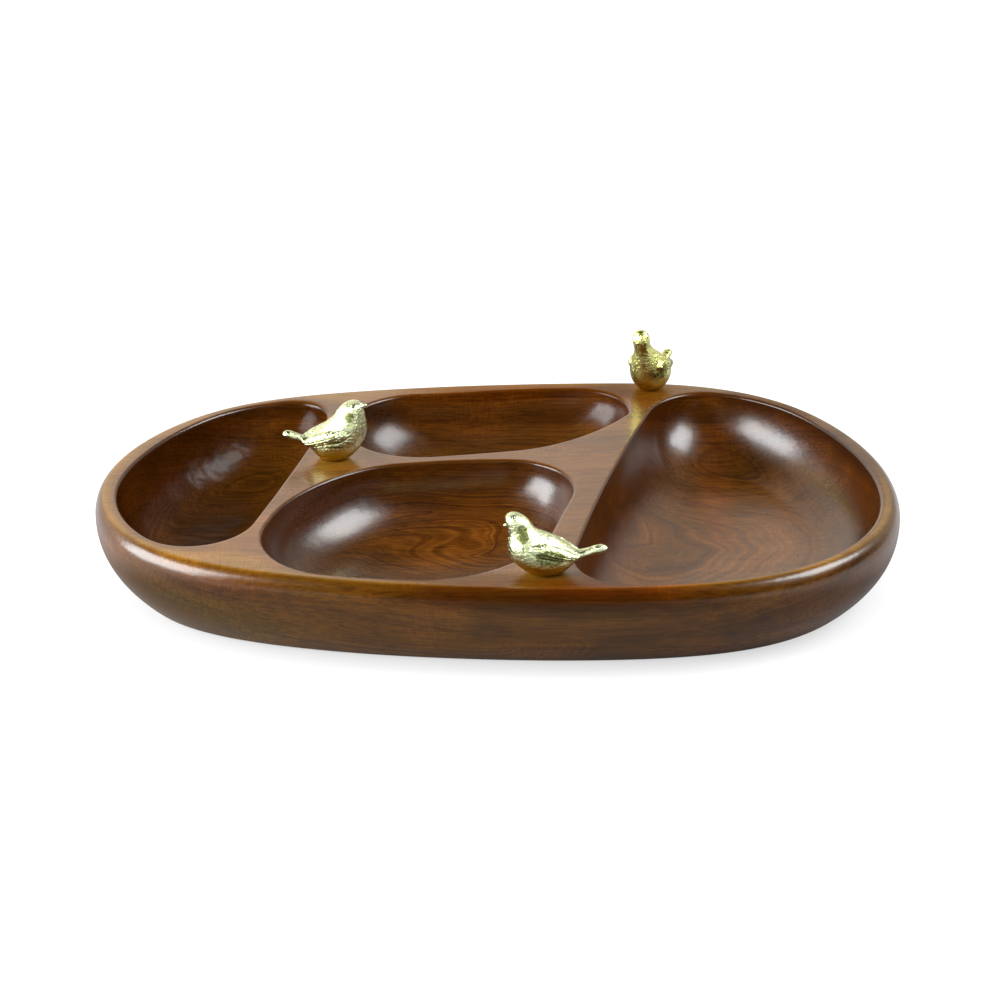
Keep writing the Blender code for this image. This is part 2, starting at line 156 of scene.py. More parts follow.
def spread(loop, count):
    """The closed loop again, as count evenly spaced places."""
    closed = np.vstack([loop, loop[:1]])
    steps = np.linalg.norm(np.diff(closed[:, :2], axis=0), axis=1)
    run = np.concatenate([[0], np.cumsum(steps)])
    places = np.linspace(0, run[-1], count, endpoint=False)
    return np.stack([np.interp(places, run, column) for column in closed.T], axis=1)


def inward(loop):
    """The direction into the loop at each place."""
    along = np.roll(loop, -CHORD_STEPS, axis=0) - np.roll(loop, CHORD_STEPS, axis=0)
    across = np.stack([-along[:, 1], along[:, 0]], axis=1)
    return across / np.linalg.norm(across, axis=1)[:, None]


def dish_outline(count):
    """The outline of the dish, the width of its rim and the run of its rounded edge there."""
    sizes = (LENGTH / 2, WIDTH / 2, RIM_WIDTH, ROUNDOVER_RUN)
    curve = closed_curve(np.array(OUTLINE_SHARES) * sizes, count)
    return curve[:, :2], curve[:, 2], curve[:, 3:]


def depth_inside(places, loop):
    """How far each place lies inside the loop, negative outside it."""
    edges = np.roll(loop, -1, axis=0) - loop
    away = places[:, None, :] - loop[None]
    share = np.clip((away * edges).sum(2) / (edges**2).sum(1), 0, 1)
    off = away - share[..., None] * edges
    distance = np.linalg.norm(off, axis=2)
    nearest = distance.argmin(1)
    row = np.arange(len(places))
    edge = edges[nearest]
    miss = off[row, nearest]
    turn = edge[:, 0] * miss[:, 1] - edge[:, 1] * miss[:, 0]
    return distance[row, nearest] * np.where(turn >= 0, 1, -1)


def ridge_side(places, ridge, side):
    """How far each place lies beyond the edge of a ridge, on its left (1) or right (-1)."""
    bow, widths, shares = ridge
    start, end = np.array(shares) * (LENGTH / 2, WIDTH / 2)
    length = np.linalg.norm(end - start)
    along = (end - start) / length
    left = np.array([-along[1], along[0]])
    share = (places - start) @ along / length
    lean = 4 * bow * (1 - 2 * share) / length
    off = ((places - start) @ left - 4 * bow * share * (1 - share)) / np.hypot(1, lean)
    first, middle, last = widths
    width = first * (1 - share) * (1 - 2 * share) + last * share * (2 * share - 1)
    width = width + middle * 4 * share * (1 - share)
    return side * off - width / 2


def rounded(first, second, radius):
    """Depth inside two sides at once, with the corner between them rounded."""
    missing = np.hypot(np.maximum(radius - first, 0), np.maximum(radius - second, 0))
    return np.maximum(radius, np.minimum(first, second)) - missing


def side_bowl(places, rim, run, ridge, side, corners):
    """Depth inside a compartment at one end of the dish."""
    front, back = corners
    share = np.clip(places[:, 1] / WIDTH + 0.5, 0, 1)
    share = share * share * (3 - 2 * share)
    radius = front + (back - front) * share
    return rounded(depth_inside(places, rim) - run, ridge_side(places, ridge, side) - run, radius)


def middle_bowl(places, rim, run, side, corners):
    """Depth inside a compartment between the left and right ridges."""
    sides = (
        depth_inside(places, rim) - run,
        ridge_side(places, LEFT_RIDGE, 1) - run,
        ridge_side(places, CROSS_RIDGE, side) - run,
        ridge_side(places, RIGHT_RIDGE, -1) - run,
    )
    depths = [rounded(sides[i], sides[(i + 1) % 4], corners[i]) for i in range(4)]
    return np.minimum.reduce(depths)


def left_bowl(places, rim, run):
    """Depth inside the left compartment."""
    return side_bowl(places, rim, run, LEFT_RIDGE, -1, LEFT_CORNERS)


def right_bowl(places, rim, run):
    """Depth inside the right compartment."""
    return side_bowl(places, rim, run, RIGHT_RIDGE, 1, RIGHT_CORNERS)


def back_bowl(places, rim, run):
    """Depth inside the back compartment."""
    return middle_bowl(places, rim, run, 1, BACK_CORNERS)


def front_bowl(places, rim, run):
    """Depth inside the front compartment."""
    return middle_bowl(places, rim, run, -1, FRONT_CORNERS)


def reach(bowl, rim, run, centre, directions):
    """Where the rays from the centre meet the edge of a bowl."""
    near = np.zeros(len(directions))
    far = np.full(len(directions), LENGTH)
    for _ in range(HALVINGS):
        middle = (near + far) / 2
        inside = bowl(centre + directions * middle[:, None], rim, run) > 0
        near = np.where(inside, middle, near)
        far = np.where(inside, far, middle)
    return centre + directions * near[:, None]


def bowl_rings(bowl, rim, run, centre):
    """Rings of one bowl from the flat top down to the middle of the floor."""
    angles = np.linspace(0, math.tau, RAYS, endpoint=False)
    rays = np.stack([np.cos(angles), np.sin(angles)], axis=1)
    lip = spread(reach(bowl, rim, 0, centre, rays), BOWL_POINTS)
    rays = (lip - centre) / np.linalg.norm(lip - centre, axis=1)[:, None]
    floor = reach(bowl, rim, LIP_RADIUS + run, centre, rays)
    rings = [(-LIP_RADIUS * LIP_SHARE, 0)]
    for i in range(LIP_STEPS):
        angle = math.pi / 2 * i / LIP_STEPS
        rings.append((LIP_RADIUS * math.sin(angle), LIP_RADIUS * (1 - math.cos(angle))))
    for i in range(BOWL_WALL_STEPS + 1):
        angle = WALL_SWEEP * i / BOWL_WALL_STEPS
        inset = LIP_RADIUS + run * (1 - math.cos(angle)) / (1 - math.cos(WALL_SWEEP))
        drop = LIP_RADIUS + (BOWL_DEPTH - LIP_RADIUS) * math.sin(angle) / math.sin(WALL_SWEEP)
        rings.append((inset, drop))
    placed = []
    for inset, drop in rings:
        share = inset / (LIP_RADIUS + run)
        placed.append((lip + (floor - lip) * share, HEIGHT - drop))
    for i in range(1, FLOOR_STEPS + 1):
        share = FLOOR_SHARE * i / FLOOR_STEPS
        drop = BOWL_DEPTH + FLOOR_DISH * (1 - (1 - share) ** 2)
        placed.append((floor + (centre - floor) * share, HEIGHT - drop))
    return placed


def outer_rings():
    """Rings of the outside, from the flat top over the rounded edge down to the base."""
    outline, _, run = dish_outline(OUTLINE_POINTS)
    half = np.array((LENGTH / 2, WIDTH / 2))
    widest = HEIGHT - ROUNDOVER_DROP
    rings = [(run * ROUNDOVER_SHARE, HEIGHT)]
    for i in range(ROUNDOVER_STEPS):
        angle = math.pi / 2 * i / ROUNDOVER_STEPS
        inset = run * (1 - math.sin(angle))
        rings.append((inset, widest + ROUNDOVER_DROP * math.cos(angle)))
    for i in range(OUTER_WALL_STEPS + 1):
        height = widest + (BASE_EDGE - widest) * i / OUTER_WALL_STEPS
        inset = BASE_INSET * (1 - height / widest) ** WALL_POWER
        rings.append((inset, height))
    for i in range(1, BASE_EDGE_STEPS + 1):
        angle = math.pi / 2 * i / BASE_EDGE_STEPS
        inset = BASE_INSET + BASE_EDGE * (1 - math.cos(angle))
        rings.append((inset, BASE_EDGE * (1 - math.sin(angle))))
    return [(outline * (1 - (inset + HAIR) / half), height) for inset, height in rings]


def add_ring(mesh, places, height):
    """A closed ring of edges at one height."""
    verts = [mesh.verts.new((x, y, height)) for x, y in places]
    return [mesh.edges.new((verts[i - 1], verts[i])) for i in range(len(verts))]


def skin(mesh, rings):
    """Joins each ring of edges to the next."""
    for i in range(len(rings) - 1):
        bmesh.ops.bridge_loops(mesh, edges=rings[i] + rings[i + 1])


def fill(mesh, edges, way=1):
    """Flat faces inside the edges, facing up (1) or down (-1)."""
    bmesh.ops.triangle_fill(mesh, edges=edges, use_beauty=True, normal=(0, 0, way))


def dish_mesh():
    """The carved body with the bores for the studs as one closed skin."""
    outline, rim_widths, _ = dish_outline(CURVE_POINTS)
    rim = outline + inward(outline) * rim_widths[:, None]
    half = np.array((LENGTH / 2, WIDTH / 2))
    bowls = (
        (left_bowl, LEFT_WALL_RUN, LEFT_CENTRE),
        (back_bowl, WALL_RUN, BACK_CENTRE),
        (front_bowl, WALL_RUN, FRONT_CENTRE),
        (right_bowl, WALL_RUN, RIGHT_CENTRE),
    )
    mesh = bmesh.new()
    carved = mesh.verts.layers.float.new("carved")
    outside = [add_ring(mesh, *ring) for ring in outer_rings()]
    skin(mesh, outside)
    top = list(outside[0])
    for bowl, run, centre in bowls:
        placed = bowl_rings(bowl, rim, run, np.array(centre) * half)
        rings = [add_ring(mesh, *ring) for ring in placed]
        skin(mesh, rings)
        for vert in {vert for ring in rings for edge in ring for vert in edge.verts}:
            vert[carved] = 1.0
        fill(mesh, rings[-1])
        top += rings[0]
    angles = np.linspace(0, math.tau, BORE_POINTS, endpoint=False)
    circle = np.stack([np.cos(angles), np.sin(angles)], axis=1) * BORE_RADIUS
    for seat in PLACES.values():
        rings = [add_ring(mesh, circle + seat, HEIGHT - drop) for drop in (0, BORE_DEPTH)]
        skin(mesh, rings)
        fill(mesh, rings[-1])
        top += rings[0]
    fill(mesh, top)
    fill(mesh, outside[-1], -1)
    bmesh.ops.recalc_face_normals(mesh, faces=mesh.faces)
    return mesh


def add_object(name, mesh, material):
    """An object made from the mesh, smooth, with its material."""
    data = bpy.data.meshes.new(name)
    mesh.to_mesh(data)
    mesh.free()
    data.shade_smooth()
    data.set_sharp_from_angle(angle=SHARP_ANGLE)
    made = bpy.data.objects.new(name, data)
    bpy.context.scene.collection.objects.link(made)
    data.materials.append(material)
    return made


# Sizes of the cast birds, and their sections from the tail to the crown in shares of the sizes:
# x and z of the back, x and z of the belly, and width, from the middle of the flat under the belly
BIRD_LENGTH = 0.050
BIRD_HEIGHT = 0.031
BIRD_WIDTH = 0.0206
SECTION_SHARES = {
    "left": (
        (-0.528, 0.432, -0.524, 0.381, 0.15),
        (-0.492, 0.468, -0.484, 0.335, 0.23),
        (-0.380, 0.419, -0.372, 0.287, 0.27),
        (-0.276, 0.374, -0.286, 0.232, 0.39),
        (-0.196, 0.471, -0.224, 0.135, 0.64),
        (-0.124, 0.574, -0.140, 0.000, 0.87),
        (-0.060, 0.658, 0.010, -0.065, 0.99),
        (-0.012, 0.729, 0.172, 0.052, 1.00),
        (0.012, 0.794, 0.284, 0.277, 0.91),
        (0.036, 0.852, 0.324, 0.490, 0.78),
        (0.064, 0.903, 0.320, 0.671, 0.66),
        (0.100, 0.952, 0.300, 0.826, 0.56),
        (0.152, 0.981, 0.280, 0.929, 0.43),
        (0.200, 0.990, 0.248, 0.974, 0.16),
    ),
    "front": (
        (-0.566, 0.416, -0.560, 0.365, 0.15),
        (-0.530, 0.452, -0.520, 0.319, 0.23),
        (-0.400, 0.410, -0.392, 0.271, 0.27),
        (-0.280, 0.365, -0.290, 0.206, 0.39),
        (-0.210, 0.416, -0.226, 0.129, 0.64),
        (-0.110, 0.535, -0.130, 0.000, 0.87),
        (-0.010, 0.632, 0.060, -0.065, 0.99),
        (0.080, 0.684, 0.250, 0.077, 1.00),
        (0.120, 0.723, 0.364, 0.271, 0.90),
        (0.144, 0.774, 0.386, 0.484, 0.74),
        (0.166, 0.832, 0.384, 0.658, 0.60),
        (0.200, 0.897, 0.404, 0.819, 0.54),
        (0.260, 0.961, 0.404, 0.923, 0.41),
        (0.320, 0.990, 0.372, 0.974, 0.16),
    ),
    "back": (
        (-0.508, 0.387, -0.504, 0.335, 0.15),
        (-0.472, 0.419, -0.464, 0.290, 0.23),
        (-0.372, 0.394, -0.364, 0.265, 0.27),
        (-0.276, 0.374, -0.286, 0.226, 0.39),
        (-0.204, 0.465, -0.224, 0.135, 0.66),
        (-0.132, 0.568, -0.140, 0.000, 0.89),
        (-0.064, 0.658, 0.000, -0.065, 1.00),
        (0.004, 0.735, 0.152, 0.045, 0.95),
        (0.060, 0.806, 0.260, 0.303, 0.74),
        (0.104, 0.877, 0.292, 0.600, 0.50),
        (0.136, 0.961, 0.308, 0.819, 0.41),
        (0.160, 1.065, 0.340, 1.000, 0.44),
        (0.196, 1.155, 0.312, 1.123, 0.35),
        (0.236, 1.190, 0.272, 1.181, 0.13),
    ),
}

# Beak, eyes and heading of each bird
BEAK_SHARES = {"left": (0.294, 0.915), "front": (0.384, 0.790), "back": (0.334, 1.020)}
BEAK_PITCH = {"left": math.radians(4), "front": math.radians(-12), "back": math.radians(0)}
BEAK_RADII = (0.0018, 0.0006)
BEAK_REACH = 0.0040
EYE_SHARES = {
    "left": (0.172, 0.915, 0.185),
    "front": (0.282, 0.890, 0.180),
    "back": (0.232, 1.045, 0.165),
}
EYE_RADIUS = 0.0011
HEADING = {"left": math.radians(0), "front": math.radians(180), "back": math.radians(244)}

# Folded wings
WING_SHARES = {"left": (-0.080, 0.415), "front": (-0.050, 0.395), "back": (-0.080, 0.415)}
WING_HALF = Vector((0.0130, 0.0040, 0.0054))
WING_OUT_SHARE = 0.305
WING_TAPER_SHARE = 0.6
WING_TOE_IN = math.radians(9)
WING_PITCH = math.radians(14)

# Fineness of the birds' forms and of the casting, and how often it is smoothed
BODY_RINGS = 90
BODY_POINTS = 56
WING_POINTS = (48, 28)
EYE_POINTS = (20, 12)
BEAK_POINTS = 24
BIRD_BORE_POINTS = 32
VOXEL = 0.00030
SMOOTHINGS = 3

# The flat seat of a bird is smoothed only above this height, and feathers rise between the two
# heights of its edge and outside the margin of its bore
SEAT_HEIGHT = 0.0008
SEAT_EDGE = (0.0006, 0.0018)
BORE_MARGIN = 0.0002

# Every feather is three rows long, with a round tip and a rib
FEATHER_ROWS = 3
TIP_ROUND = 1.1
RIB_DROP = 0.35
RIB_POWER = 1.5

# Feathers of the body: the way they lie, the middle line they turn round, and their size
FLOW = (-0.86, 0, -0.51)
UPWARD = (-0.51, 0, 0.86)
FLOW_START = 0.05
SPINE_LIFT = 0.012
SPINE_RADIUS = 0.0085
BODY_ROW = 0.00125
BODY_FEATHER = 0.0021
BODY_RELIEF = 0.00024

# Feathers of the wings, in shares of the wing: short ones at its front, then long quills
WING_EDGE = (1.02, 1.12)
WING_FACE = (0.0, 0.35)
THINNEST_WING = 0.1
SHORT_ROW = 0.17
SHORT_FEATHER = 0.34
SHORT_LEAN = 0.15
QUILLS = 2.2
QUILL_LEAN = 0.75
QUILL_LOW = 0.10
QUILL_POWER = 0.6
QUILL_START = (0.45, 0.60)
WING_RELIEF = 0.00050
WING_TONE = 1.25

# Painted dark reflections and shade on both sides of each bird, on the cheeks and under the wings:
# middle, half sizes and strength, with the share of the way out at which they begin and end to fade
PAINTED_PATCH_EDGE = (0.55, 1.0)
PAINTED_DARK_PATCHES = {
    "left": (
        ((0.0078, 0.0065, 0.0245), (0.0034, 0.0050, 0.0036), 1.0),
        ((0.0000, 0.0100, 0.0125), (0.0060, 0.0050, 0.0011), 1.1),
        ((0.0000, 0.0100, 0.0098), (0.0070, 0.0050, 0.0009), 1.1),
        ((-0.0170, 0.0040, 0.0110), (0.0060, 0.0040, 0.0030), 0.6),
    ),
    "front": (
        ((0.0120, 0.0070, 0.0225), (0.0048, 0.0050, 0.0065), 1.0),
        ((-0.0015, 0.0100, 0.0115), (0.0110, 0.0060, 0.0056), 0.95),
    ),
    "back": (
        ((0.0100, 0.0050, 0.0290), (0.0030, 0.0050, 0.0040), 0.7),
        ((0.0040, 0.0090, 0.0130), (0.0050, 0.0050, 0.0060), 0.95),
        ((-0.0080, 0.0090, 0.0130), (0.0060, 0.0050, 0.0050), 0.8),
        ((0.0085, 0.0040, 0.0125), (0.0060, 0.0090, 0.0055), 0.72),
    ),
}


def open_curve(points, count):
    """A smooth open curve through the points, as evenly spaced places along it."""
    points = np.asarray(points, float)
    number = len(points)
    gaps = np.linalg.norm(np.diff(points, axis=0), axis=1)
    system = np.eye(number)
    right = np.zeros_like(points)
    slopes = np.diff(points, axis=0) / gaps[:, None]
    for i in range(1, number - 1):
        system[i, i - 1 : i + 2] = gaps[i - 1], 2 * (gaps[i - 1] + gaps[i]), gaps[i]
        right[i] = 6 * (slopes[i] - slopes[i - 1])
    bends = np.linalg.solve(system, right)
    run = np.concatenate([[0], np.cumsum(gaps)])
    places = np.linspace(0, run[-1], count)
    cell = np.clip(np.searchsorted(run, places, side="right") - 1, 0, number - 2)
    share = ((places - run[cell]) / gaps[cell])[:, None]
    bend = (2 - share) * bends[cell] + (1 + share) * bends[cell + 1]
    straight = points[cell] * (1 - share) + points[cell + 1] * share
    return straight - gaps[cell, None] ** 2 / 6 * share * (1 - share) * bend


def bird_body(side):
    """The body of a bird, lofted from the tip of the tail to the crown, cut flat below."""
    sizes = (BIRD_LENGTH, BIRD_HEIGHT, BIRD_LENGTH, BIRD_HEIGHT, BIRD_WIDTH)
    sections = open_curve(np.array(SECTION_SHARES[side]) * sizes, BODY_RINGS)
    mesh = bmesh.new()
    rings = []
    for back_x, back_z, belly_x, belly_z, width in sections:
        back = Vector((back_x, 0, back_z))
        belly = Vector((belly_x, 0, belly_z))
        centre = (back + belly) / 2
        verts = []
        for i in range(BODY_POINTS):
            angle = math.tau * i / BODY_POINTS
            across = Vector((0, width / 2 * math.sin(angle), 0))
            verts.append(mesh.verts.new(centre + (back - centre) * math.cos(angle) + across))
        rings.append([mesh.edges.new((verts[i - 1], verts[i])) for i in range(len(verts))])
    skin(mesh, rings)
    for ring in (rings[0], rings[-1]):
        bmesh.ops.contextual_create(mesh, geom=ring)
    whole = mesh.verts[:] + mesh.edges[:] + mesh.faces[:]
    cut = bmesh.ops.bisect_plane(
        mesh, geom=whole, plane_co=(0, 0, 0), plane_no=(0, 0, -1), clear_outer=True
    )
    edges = [part for part in cut["geom_cut"] if isinstance(part, bmesh.types.BMEdge)]
    bmesh.ops.contextual_create(mesh, geom=edges)
    return mesh


def wing_frame(side, out):
    """Where a folded wing sits and how it is turned."""
    along, up = WING_SHARES[side]
    place = Vector((along * BIRD_LENGTH, out * WING_OUT_SHARE * BIRD_WIDTH, up * BIRD_HEIGHT))
    toe_in = Matrix.Rotation(out * WING_TOE_IN, 3, "Z")
    return place, toe_in @ Matrix.Rotation(-WING_PITCH, 3, "Y")


def add_ball(mesh, points, radius):
    """A ball around the middle, with so many points round and down."""
    around, down = points
    made = bmesh.ops.create_uvsphere(mesh, u_segments=around, v_segments=down, radius=radius)
    return made["verts"]


def add_taper(mesh, points, radii, length):
    """A closed round taper along z around the middle."""
    low, high = radii
    made = bmesh.ops.create_cone(
        mesh, segments=points, radius1=low, radius2=high, depth=length, cap_ends=True
    )
    return made["verts"]


def add_wing(mesh, side, out):
    """A folded wing on the left (1) or right (-1) of the body, narrower at its tip."""
    verts = add_ball(mesh, WING_POINTS, 1)
    for vert in verts:
        vert.co.z *= 1 - WING_TAPER_SHARE * (1 - vert.co.x) / 2
    place, turn = wing_frame(side, out)
    bmesh.ops.scale(mesh, verts=verts, vec=WING_HALF)
    bmesh.ops.rotate(mesh, verts=verts, cent=(0, 0, 0), matrix=turn)
    bmesh.ops.translate(mesh, verts=verts, vec=place)


def add_head_details(mesh, side):
    """The beak and the eyes."""
    verts = add_taper(mesh, BEAK_POINTS, BEAK_RADII, BEAK_REACH)
    forward = Matrix.Rotation(math.pi / 2 - BEAK_PITCH[side], 3, "Y")
    bmesh.ops.rotate(mesh, verts=verts, cent=(0, 0, 0), matrix=forward)
    along, up = BEAK_SHARES[side]
    bmesh.ops.translate(mesh, verts=verts, vec=(along * BIRD_LENGTH, 0, up * BIRD_HEIGHT))
    along, up, out = EYE_SHARES[side]
    for way in (1, -1):
        place = (along * BIRD_LENGTH, way * out * BIRD_WIDTH, up * BIRD_HEIGHT)
        bmesh.ops.translate(mesh, verts=add_ball(mesh, EYE_POINTS, EYE_RADIUS), vec=place)


def feathers(along, across, row, width):
    """Height from 0 to 1 of feathers that overlap in rows, and 0 in the gaps under their tips."""
    height = np.zeros(len(along))
    free = np.ones(len(along), bool)
    first = np.floor(along / row)
    for back in reversed(range(FEATHER_ROWS)):
        index = first - back
        middle = across / width + 0.5 * (index % 2)
        off = 2 * np.abs(middle - np.round(middle))
        tip = row * (index + FEATHER_ROWS - TIP_ROUND * off**2)
        covers = free & (along < tip)
        share = (along - index * row) / (FEATHER_ROWS * row)
        rib = 1 - RIB_DROP * off**RIB_POWER
        height[covers] = (np.clip(share, 0, 1) * rib)[covers]
        free &= ~covers
    return height


def smooth_step(low, high, value):
    """0 below the low value, 1 above the high one, and a soft passage between them."""
    share = np.clip((value - low) / (high - low), 0, 1)
    return share * share * (3 - 2 * share)


def body_feathers(places):
    """Height from 0 to 1 of the feathers on the body."""
    along = places @ np.array(FLOW) + FLOW_START
    lift = places @ np.array(UPWARD) - SPINE_LIFT
    across = np.arctan2(places[:, 1], lift) * SPINE_RADIUS
    return feathers(along, across, BODY_ROW, BODY_FEATHER)


def wing_feathers(places, side, out):
    """Height from 0 to 1 of the feathers on one wing, and how far each place belongs to it."""
    seat, turn = wing_frame(side, out)
    local = (places - np.array(seat)) @ np.array(turn) / np.array(WING_HALF)
    taper = 1 - WING_TAPER_SHARE * (1 - local[:, 0]) / 2
    local[:, 2] /= np.maximum(taper, THINNEST_WING)
    far = np.linalg.norm(local, axis=1)
    mask = (1 - smooth_step(*WING_EDGE, far)) * smooth_step(*WING_FACE, local[:, 1] * out)
    run = 1 - local[:, 0]
    short = feathers(run, local[:, 2] + SHORT_LEAN * run, SHORT_ROW, SHORT_FEATHER)
    saw = (local[:, 2] * QUILLS + QUILL_LEAN * run) % 1
    quills = QUILL_LOW + (1 - QUILL_LOW) * saw**QUILL_POWER
    long = smooth_step(*QUILL_START, run)
    return short * (1 - long) + quills * long, mask


def grown_together(side, material):
    """Body, wings, beak and eyes of a bird as one smooth skin, bored for its stud."""
    mesh = bird_body(side)
    for out in (1, -1):
        add_wing(mesh, side, out)
    add_head_details(mesh, side)
    bmesh.ops.recalc_face_normals(mesh, faces=mesh.faces)
    rough = add_object(f"rough_{side}", mesh, material)
    remesh = rough.modifiers.new("grow_together", "REMESH")
    remesh.mode = "VOXEL"
    remesh.voxel_size = VOXEL
    bore = bmesh.new()
    add_taper(bore, BIRD_BORE_POINTS, (BORE_RADIUS, BORE_RADIUS), 2 * BIRD_BORE_DEPTH)
    cutter = add_object(f"bore_{side}", bore, material)
    cut = rough.modifiers.new("bore", "BOOLEAN")
    cut.operation = "DIFFERENCE"
    cut.object = cutter
    cut.solver = "EXACT"
    graph = bpy.context.evaluated_depsgraph_get()
    data = bpy.data.meshes.new_from_object(rough.evaluated_get(graph))
    bpy.data.objects.remove(rough)
    bpy.data.objects.remove(cutter)
    bird = bmesh.new()
    bird.from_mesh(data)
    bpy.data.meshes.remove(data)
    upper = [vert for vert in bird.verts if vert.co.z > SEAT_HEIGHT]
    for _ in range(SMOOTHINGS):
        bmesh.ops.smooth_vert(
            bird, verts=upper, factor=0.5, use_axis_x=True, use_axis_y=True, use_axis_z=True
        )
    bird.normal_update()
    return bird


def cast_bird(side, material):
    """One bird as one casting, with feathers cut in, its hollows marked for the patina and its painted
    dark patches marked as well.
    """
    bird = grown_together(side, material)
    places = np.array([vert.co for vert in bird.verts])
    normals = np.array([vert.normal for vert in bird.verts])
    bored = np.hypot(places[:, 0], places[:, 1]) < BORE_RADIUS + BORE_MARGIN
    bored &= places[:, 2] < BIRD_BORE_DEPTH + BORE_MARGIN
    free = smooth_step(*SEAT_EDGE, places[:, 2]) * ~bored
    body = body_feathers(places)
    relief = BODY_RELIEF * (body - 1) * free
    patina_and_painted_shade = 1 - body
    for out in (1, -1):
        wing, mask = wing_feathers(places, side, out)
        relief = relief * (1 - mask) + WING_RELIEF * (wing - 1) * mask * free
        patina_and_painted_shade = patina_and_painted_shade * (1 - mask) + WING_TONE * (1 - wing) * mask
    # Painted dark reflections and shade on the cheeks and under the wings, beside the patina between the
    # feathers
    for middle, halves, strength in PAINTED_DARK_PATCHES[side]:
        away = (places * (1, 0, 1) + np.abs(places) * (0, 1, 0) - middle) / halves
        fade = smooth_step(*PAINTED_PATCH_EDGE, np.linalg.norm(away, axis=1))
        patina_and_painted_shade = np.maximum(patina_and_painted_shade, strength * (1 - fade))
    for vert, place in zip(bird.verts, places + normals * relief[:, None]):
        vert.co = place
    turn = Matrix.Rotation(HEADING[side], 4, "Z")
    stand = Matrix.Translation((*PLACES[side], HEIGHT + GAP)) @ turn
    bmesh.ops.transform(bird, verts=bird.verts, matrix=stand)
    made = add_object(f"cast_bird_{side}", bird, material)
    hollow_patina_and_painted_shade = made.data.attributes.new("hollow_patina_and_painted_shade", "FLOAT", "POINT")
    hollow_patina_and_painted_shade.data.foreach_set("value", patina_and_painted_shade.astype(np.float32))
    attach(made, "root")
    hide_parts(f"bird_{side}")
    return made


# Materials

class Nodes:
    """Short calls that add and join the shader nodes of a material or a world."""

    def __init__(self, owner):
        owner.use_nodes = True
        self.tree = owner.node_tree
        self.shader = self.tree.nodes.get("Principled BSDF")

    def add(self, kind, values=None, **settings):
        node = self.tree.nodes.new("ShaderNode" + kind)
        for key, value in settings.items():
            setattr(node, key, value)
        for key, value in (values or {}).items():
            self.put(node.inputs[key], value)
        return node

    def put(self, socket, value):
        if isinstance(value, bpy.types.NodeSocket):
            self.tree.links.new(value, socket)
        else:
            socket.default_value = value

    def surface(self, **values):
        """Sets or links sockets of the surface shader, named with _ for a space."""
        for key, value in values.items():
            self.put(self.shader.inputs[key.replace("_", " ")], value)

    def math(self, operation, first, second=0.0, third=0.0):
        node = self.add("Math", {0: first, 1: second, 2: third}, operation=operation)
        return node.outputs[0]

    def times(self, first, second):
        return self.math("MULTIPLY", first, second)

    def ramp(self, value, stops):
        node = self.add("ValToRGB", {0: value})
        elements = node.color_ramp.elements
        while len(elements) < len(stops):
            elements.new(0.5)
        for element, (place, colour) in zip(elements, stops):
            element.position = place
            element.color = (*colour, 1) if len(colour) == 3 else (colour[0],) * 3 + (1,)
        return node.outputs[0]

    def mix(self, factor, first, second, kind="MIX"):
        node = self.add("Mix", data_type="RGBA", blend_type=kind)
        self.put(node.inputs[0], factor)
        self.put(node.inputs[6], first)
        self.put(node.inputs[7], second)
        return node.outputs[2]

    def tint(self, factor, colour, shade):
        """The colour, multiplied by the shade as far as the factor says."""
        return self.mix(factor, colour, self.mix(1.0, colour, shade, "MULTIPLY"))

    def noise(self, place, scale, detail=2.0, roughness=0.5):
        values = {"Scale": scale, "Detail": detail, "Roughness": roughness, "Vector": place}
        return self.add("TexNoise", values).outputs[0]

    def stretched(self, place, scale, detail=3.0, roughness=0.6):
        """Noise drawn out by a scale of its own along each axis."""
        place = self.add("Mapping", {"Vector": place, "Scale": scale}).outputs[0]
        return self.noise(place, 1.0, detail, roughness)

    def layers(self, run, scale, detail, roughness):
        """Noise that changes along one value only."""
        values = {"W": run, "Scale": scale, "Detail": detail, "Roughness": roughness}
        return self.add("TexNoise", values, noise_dimensions="1D").outputs[0]

    def step(self, value, start, end, first=0.0, last=1.0):
        """A soft passage from the first value to the last one."""
        values = {0: value, 1: start, 2: end, 3: first, 4: last}
        return self.add("MapRange", values, interpolation_type="SMOOTHSTEP").outputs[0]

    def spot(self, place, centre, size, core=0.0):
        """1 in the middle of a soft egg-shaped region, 0 outside it."""
        away = self.add("VectorMath", {0: place, 1: centre}, operation="SUBTRACT").outputs[0]
        away = self.add("VectorMath", {0: away, 1: size}, operation="DIVIDE").outputs[0]
        away = self.add("VectorMath", {0: away}, operation="LENGTH").outputs["Value"]
        return self.step(away, core, 1.0, 1.0, 0.0)

    def bump(self, strength, distance, height):
        values = {"Strength": strength, "Distance": distance, "Height": height}
        return self.add("Bump", values).outputs[0]


# Scales of the patterns along the grain, across it and upwards, per metre
SLOW_WAVE_SCALE = (9, 16, 16)
QUICK_WAVE_SCALE = (20, 55, 55)
FIBRE_SCALE = (45, 1700, 1700)
STREAK_SCALE = (12, 700, 700)
PORE_SCALE = (110, 1500, 1500)
CLOUD_SCALE = (22, 34, 34)
SANDING_SCALE = (1500, 160, 160)
RIPPLE_SCALE = (55, 80, 80)
GOUGE_SCALE = (330, 330, 22)

# The heart of the tree beside and below the middle of the base, how much flatter its layers
# lie, and how far slow and quick waves bend them
HEART_SIDE = 0.012
HEART_DEPTH = 0.050
LAYER_FLATNESS = 1.6
SLOW_WAVE = 0.030
QUICK_WAVE = 0.0026
YEARS_PER_METRE = 520.0
BANDS_PER_METRE = 90.0

